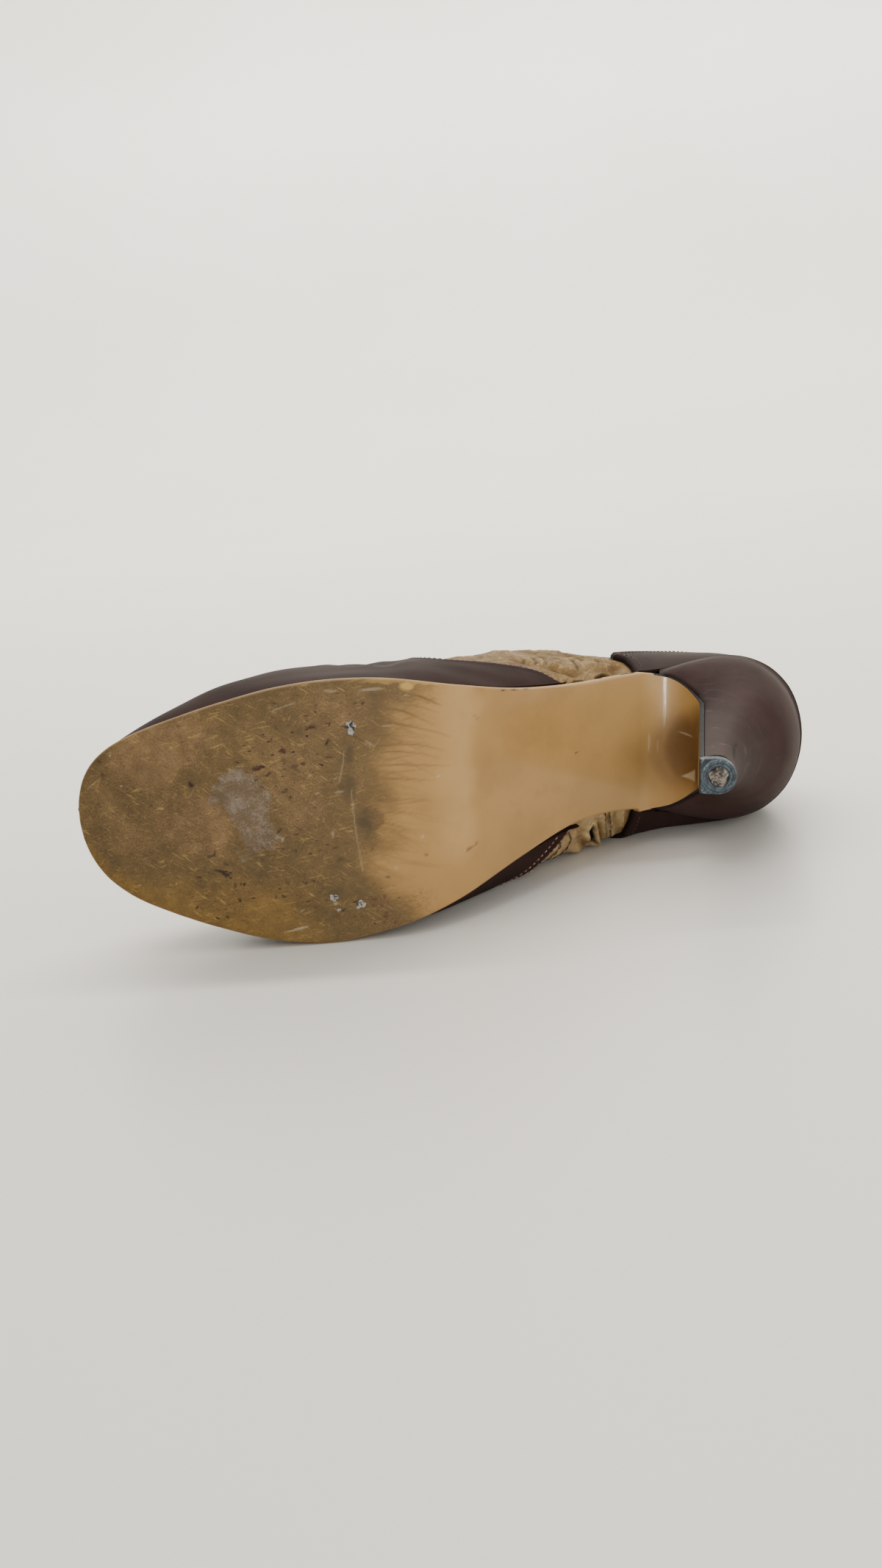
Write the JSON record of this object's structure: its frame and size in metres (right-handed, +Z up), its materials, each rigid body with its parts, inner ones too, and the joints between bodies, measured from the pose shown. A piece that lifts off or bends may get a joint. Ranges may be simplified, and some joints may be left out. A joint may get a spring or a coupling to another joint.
{
  "type": "high-heeled shoe",
  "caption": "Worn left leather shoe with a slim covered heel, thin sole turned down the heel front, dark toe and heel overlays on a tan upper; lies on its side.",
  "frame": {"origin": "on the floor under the middle of the shoe's box, as it lies on its inner side", "axes": "+X from toe to heel, +Y from the sole towards the collar, +Z up from the floor towards the outer side of the foot"},
  "size_m": [0.2114, 0.1422, 0.074],
  "materials": {
    "sole_leather": "worn, satin",
    "heel_cover": "satin",
    "grey_rubber": "matt, worn",
    "pin_steel": "worn",
    "tan_leather": "soft, matt",
    "brown_leather": "satin",
    "lining_leather": "matt"
  },
  "bodies": {
    "root": {"outsole": "sole_leather", "heel": "heel_cover", "top_piece": "grey_rubber", "heel_pin": "pin_steel", "upper": "tan_leather", "vamp": "brown_leather", "counter": "brown_leather", "insole": "lining_leather"}
  },
  "joints": []
}
